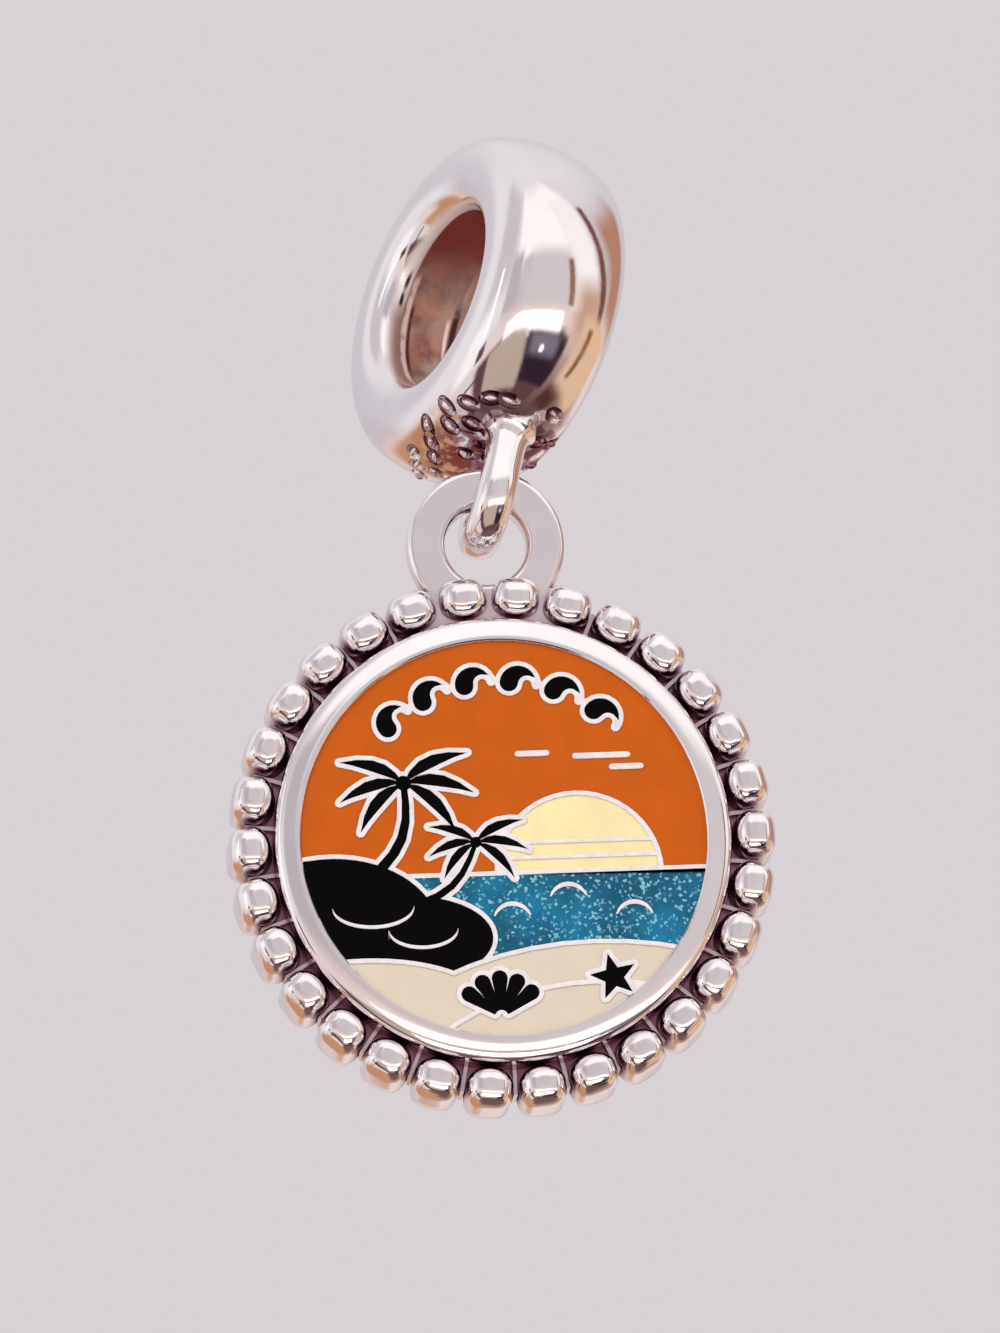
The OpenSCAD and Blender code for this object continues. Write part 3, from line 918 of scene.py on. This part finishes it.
def filled_outline(name, loops, low, high, rounding):
    """A slab with rounded edges, from low to high, filled between its outlines."""
    curve = bpy.data.curves.new(name, "CURVE")
    curve.dimensions = "2D"
    curve.fill_mode = "BOTH"
    curve.extrude = (high - low) / 2 - rounding
    curve.bevel_depth = rounding
    curve.bevel_resolution = LINE_BEVEL_STEPS
    curve.offset = -rounding
    for loop in loops:
        spline = curve.splines.new("POLY")
        spline.points.add(len(loop) - 1)
        for point, (x, y) in zip(spline.points, loop):
            point.co = (x * MM, y * MM, 0, 1)
        spline.use_cyclic_u = True
    shape = new_object(name, curve)
    mesh = evaluated_mesh(shape)
    bpy.data.objects.remove(shape)
    mesh.transform(Matrix.Translation((0, 0, (low + high) / 2)))
    return new_object(name, mesh)


ENAMEL_NODES = sorted(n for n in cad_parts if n.startswith("enamel_"))


def build_field():
    """The raised metal lines between the enamel cells."""
    s = bpy.context.scene.charm_medallion
    loops = [loop for node in ENAMEL_NODES for loop in front_loops(node)]
    high = s.thick / 2 - s.line_drop
    field = s.field / MM / 2 + FIELD_OVERLAP
    turns = [2 * math.pi * i / FIELD_STEPS for i in range(FIELD_STEPS)]
    ring = [(field * math.cos(turn), field * math.sin(turn)) for turn in turns]
    lines = filled_outline("metal_lines", [ring] + loops, high - s.cell, high, s.line_round)
    lines.data.transform(medallion_place())
    return lines


# Operators

class CharmOperator:
    bl_options = {"REGISTER", "UNDO"}


class CHARM_OT_bail(CharmOperator, bpy.types.Operator):
    """Bail with its flared bore, the soldered loop and the small ornament round its foot"""
    bl_idname = "charm.bail"
    bl_label = "Bail"

    def execute(self, context):
        silver = polished_silver("bail_silver", 0.3 * MM, 0.75, on_bail=True)
        finish_piece(build_bail(), BAIL_BODY, silver, ["bail"])
        return {"FINISHED"}


# How far behind the rim's crest recesses start to take tarnish and painted shade, and take them
# in full
DARK_START, DARK_FULL = 0.28 * MM, 0.55 * MM


class CHARM_OT_medallion(CharmOperator, bpy.types.Operator):
    """Medallion casting: plate, rim, edge beads, fins and eyelet"""
    bl_idname = "charm.medallion"
    bl_label = "Medallion"

    def execute(self, context):
        sizes = context.scene.charm_medallion
        crest = medallion_place().translation.y - sizes.thick / 2
        silver = polished_silver("medallion_silver", 0.5 * MM, 0.8,
                                 groove=(crest + DARK_START, crest + DARK_FULL),
                                 fin_tops=crest + sizes.thick - sizes.plate - sizes.fin_high)
        piece = finish_piece(build_medallion(), PENDANT_BODY, silver, ["medallion"])
        lit = bpy.data.collections.new("bounce_card_only")
        lit.objects.link(piece)
        bpy.data.objects["bounce_card"].light_linking.receiver_collection = lit
        return {"FINISHED"}


class CHARM_OT_lines(CharmOperator, bpy.types.Operator):
    """Raised metal lines between the enamel cells"""
    bl_idname = "charm.lines"
    bl_label = "Metal lines"

    def execute(self, context):
        finish_piece(build_field(), PENDANT_BODY, satin_silver("line_silver"))
        return {"FINISHED"}


class CHARM_OT_enamel(CharmOperator, bpy.types.Operator):
    """Enamel inlays of the picture"""
    bl_idname = "charm.enamel"
    bl_label = "Enamel"

    def execute(self, context):
        c = context.scene.charm_colours
        black = enamel_material("black_enamel", tuple(c.black), 0.2, 0.06)
        finishes = {
            "enamel_sky": enamel_material("orange_enamel", tuple(c.sky), 0.08),
            "enamel_sun": enamel_material("pale_enamel", tuple(c.sun), 0.08),
            "enamel_sea": glitter_enamel("sea_enamel", tuple(c.sea), tuple(c.glitter)),
            "enamel_sand": enamel_material("cream_enamel", tuple(c.sand), 0.06),
        }
        for node in ENAMEL_NODES:
            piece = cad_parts[node]
            material = finishes.get(node, black)
            for slot in piece.material_slots:
                slot.material = material
        return {"FINISHED"}


class CHARM_OT_stage(CharmOperator, bpy.types.Operator):
    """Pale floor, soft studio light and the camera"""
    bl_idname = "charm.stage"
    bl_label = "Stage"

    def execute(self, context):
        context.scene.view_settings.view_transform = "Standard"
        build_camera()
        build_floor()
        build_lights()
        build_world()
        return {"FINISHED"}


# Stage

# The picture's size and the place of the medallion's centre in it, in picture elements
IMAGE_SIZE = (1000, 1333)
MEDALLION_AT = (501.5, 846.0)
# The camera's sensor in millimetres, and its nearest sight and the floor in metres
SENSOR_HIGH = 36.0
NEAR_CLIP = 0.01
FLOOR_RADIUS = 4.0
FLOOR_DROP = 0.16
# The lights face a point between the bail and the medallion
LIGHTS_AIM = Vector((0, 0, -0.009))


def camera_axes():
    """Right, up and towards the camera, with the picture's lean."""
    s = bpy.context.scene.charm_studio
    away = Vector((-math.sin(s.azimuth) * math.cos(s.elevation),
                   -math.cos(s.azimuth) * math.cos(s.elevation), -math.sin(s.elevation)))
    right = Vector((0, 0, 1)).cross(away).normalized()
    up = away.cross(right).normalized()
    lean = Matrix.Rotation(-s.lean, 3, away)
    return lean @ right, lean @ up, away


def build_camera():
    s = bpy.context.scene.charm_studio
    right, up, away = camera_axes()
    element = MM / s.scale
    off_x, off_y = ((at - size / 2) * element for at, size in zip(MEDALLION_AT, IMAGE_SIZE))
    target = medallion_place().translation - right * off_x + up * off_y
    data = bpy.data.cameras.new("camera")
    data.sensor_fit = "VERTICAL"
    data.sensor_height = SENSOR_HIGH
    data.lens = SENSOR_HIGH * s.distance / (IMAGE_SIZE[1] * element)
    data.clip_start = NEAR_CLIP
    camera = new_object("camera", data)
    turn = Matrix((right, up, away)).transposed().to_4x4()
    camera.matrix_world = Matrix.Translation(target + away * s.distance) @ turn
    bpy.context.scene.camera = camera


def build_floor():
    bm = bmesh.new()
    bmesh.ops.create_circle(bm, cap_ends=True, segments=96, radius=FLOOR_RADIUS)
    floor = new_piece("floor", bm, Matrix.Translation((0, 0, -FLOOR_DROP)))
    material, w = new_material("floor_paper")
    rgb = tuple(bpy.context.scene.charm_colours.floor)
    grain = w.mix(w.noise(PAPER_GRAIN, 6.0), tuple(c * 0.97 for c in rgb), rgb)
    w.surface({"Base Color": grain, "Roughness": 0.85})
    floor.data.materials.append(material)
    floor.visible_glossy = False


def softbox(name, place, size, power, rgb, reflected=False):
    data = bpy.data.lights.new(name, "AREA")
    data.shape = "RECTANGLE"
    data.size, data.size_y = size
    data.energy = power
    data.color = rgb
    light = new_object(name, data)
    turn = (LIGHTS_AIM - Vector(place)).to_track_quat("-Z", "Y").to_matrix().to_4x4()
    light.matrix_world = Matrix.Translation(place) @ turn
    light.visible_glossy = reflected


def build_lights():
    softbox("key_light", (-0.25, -0.35, 0.35), (0.3, 0.3), 2.2, (1.0, 0.98, 0.97))
    softbox("fill_light", (0.45, -0.25, 0.05), (0.2, 0.45), 0.9, (1.0, 0.93, 0.88))
    softbox("top_light", (0.05, 0.2, 0.5), (0.5, 0.25), 2.0, (0.97, 0.97, 1.0))
    # a small card under the medallion, for the white on the beads' lower sides
    softbox("bounce_card", (0.001, -0.03, -0.045), (0.034, 0.014), 0.0025, (1.0, 0.97, 0.96),
            reflected=True)


# Panels of the studio as polished metal sees it: degrees round from the front towards the
# right, degrees up, half-width, half-height and soft edge in degrees, colour
PANELS = (
    ("left_wall", -78, 27, 46, 33, 22, (0.88, 0.85, 0.86)),
    ("left_glow", -70, 2, 14, 16, 14, (1.08, 1.04, 1.02)),
    ("left_shade", -62, 42, 25, 24, 18, (0.66, 0.62, 0.635)),
    ("front_ceiling", 23, 46, 51, 26, 14, (1.15, 1.10, 1.08)),
    ("right_white", 64, 24, 13, 34, 6, (1.05, 1.0, 0.98)),
    ("front_panel", 28, 10, 26, 17, 14, (0.70, 0.65, 0.65)),
    ("left_grey", -24, 16, 13, 16, 9, (0.55, 0.50, 0.52)),
    ("face_panel", 2, 16, 11, 10, 5, (0.66, 0.61, 0.62)),
    ("left_copper", -117, -48, 35, 20, 12, (0.60, 0.34, 0.20)),
    ("left_low", -66, -42, 16, 24, 7, (0.80, 0.74, 0.72)),
    ("left_line", -64, -34, 14, 1.5, 1.5, (0.14, 0.07, 0.06)),
    ("left_amber", -142, -32, 36, 22, 14, (0.58, 0.31, 0.18)),
    ("front_floor", -2, -48, 55, 26, 8, (0.13, 0.06, 0.065)),
    ("front_sheet", 14, -20.5, 33, 8.5, 2, (1.4, 1.35, 1.32)),
    ("front_dark", 38, -42, 20, 17, 4, (0.035, 0.018, 0.03)),
    ("front_blue", 36, -33, 14, 7, 8, (0.22, 0.19, 0.23)),
    ("front_olive", -11, -44, 28, 20, 5, (0.54, 0.44, 0.36)),
    ("left_dark", -57, -10, 5, 5, 2, (0.10, 0.06, 0.05)),
    ("left_tube", -60, 16, 3, 14, 1.5, (1.3, 1.28, 1.28)),
    ("right_streak", 52, 6, 2.5, 14, 2, (0.30, 0.14, 0.10)),
    ("right_brown", 70, -10, 12, 16, 18, (0.62, 0.38, 0.27)),
    ("right_copper", 110, 16, 19, 22, 14, (0.50, 0.26, 0.17)),
    ("right_line", 83, 16, 3, 32, 3, (0.20, 0.075, 0.05)),
    ("right_beige", 94, -30, 26, 20, 8, (0.80, 0.54, 0.35)),
    ("right_gold", 78, -30, 2.5, 14, 2, (0.30, 0.13, 0.045)),
    ("right_dark", 80, -60, 14, 7, 9, (0.10, 0.035, 0.03)),
    ("glint", 34, -36, 1.5, 2, 0.7, (2.4, 2.4, 2.4)),
)
# Colour by height, from straight down at 0 to straight up at 1
SKY_STOPS = (
    (0.0, (0.16, 0.10, 0.10)),
    (0.06, (0.20, 0.12, 0.11)),
    (0.2, (0.52, 0.37, 0.32)),
    (0.33, (0.90, 0.74, 0.69)),
    (0.42, (0.84, 0.70, 0.66)),
    (0.5, (0.66, 0.56, 0.55)),
    (0.59, (0.62, 0.585, 0.62)),
    (0.79, (0.70, 0.67, 0.70)),
    (0.93, (0.84, 0.81, 0.83)),
    (1.0, (0.88, 0.85, 0.86)),
)
# What the camera sees behind the charm
BACKDROP = (0.69, 0.645, 0.67)


def build_world():
    """A plain backdrop for the camera, and soft studio panels for light and reflections."""
    world = bpy.data.worlds.new("studio")
    bpy.context.scene.world = world
    w = Wiring(world, "Generated")
    parts = w.parts()
    ramp = w.add("ValToRGB", {"Fac": w.maths("MULTIPLY_ADD", parts["Z"], 0.5, 0.5)})
    stops = ramp.color_ramp.elements
    stops.remove(stops[1])
    stops[0].position, stops[0].color = SKY_STOPS[0][0], (*SKY_STOPS[0][1], 1)
    for position, rgb in SKY_STOPS[1:]:
        stops.new(position).color = (*rgb, 1)
    tone = ramp.outputs["Color"]
    azimuth = w.maths("ARCTAN2", parts["X"], w.maths("MULTIPLY", parts["Y"], -1.0))
    height = w.maths("ARCSINE", parts["Z"])
    for name, centre, up, wide, high, soft, rgb in PANELS:
        share = w.maths("MULTIPLY", w.window(azimuth, centre, wide, soft),
                        w.window(height, up, high, soft))
        tone = w.mix(share, tone, rgb)
        tone.node.label = name
    seen = w.add("LightPath").outputs["Is Camera Ray"]
    back = w.add("Background", {"Color": w.mix(seen, tone, BACKDROP)})
    w.add("OutputWorld", {"Surface": back.outputs["Background"]})


class CHARM_PT_panel(bpy.types.Panel):
    """Pieces and sizes of the dangle charm"""
    bl_idname = "CHARM_PT_panel"
    bl_label = "Dangle charm"
    bl_space_type = "VIEW_3D"
    bl_region_type = "UI"
    bl_category = "Charm"

    def draw(self, context):
        for operator in OPERATORS:
            self.layout.operator(operator.bl_idname)
        for group in SETTINGS:
            box = self.layout.box()
            values = getattr(context.scene, group)
            for name in values.bl_rna.properties.keys():
                if name not in ("rna_type", "name"):
                    box.prop(values, name)


OPERATORS = (CHARM_OT_stage, CHARM_OT_bail, CHARM_OT_medallion, CHARM_OT_lines,
             CHARM_OT_enamel)
SETTINGS = {
    "charm_bail": CharmBailSizes,
    "charm_medallion": CharmMedallionSizes,
    "charm_colours": CharmColours,
    "charm_studio": CharmStudio,
}


def register():
    for name, group in SETTINGS.items():
        bpy.utils.register_class(group)
        setattr(bpy.types.Scene, name, bpy.props.PointerProperty(type=group))
    for operator in OPERATORS:
        bpy.utils.register_class(operator)
    bpy.utils.register_class(CHARM_PT_panel)


def unregister():
    bpy.utils.unregister_class(CHARM_PT_panel)
    for operator in reversed(OPERATORS):
        bpy.utils.unregister_class(operator)
    for name, group in SETTINGS.items():
        delattr(bpy.types.Scene, name)
        bpy.utils.unregister_class(group)


def main():
    register()
    bpy.ops.charm.stage()
    bpy.ops.charm.bail()
    bpy.ops.charm.medallion()
    bpy.ops.charm.lines()
    bpy.ops.charm.enamel()


if __name__ == "__main__":
    main()
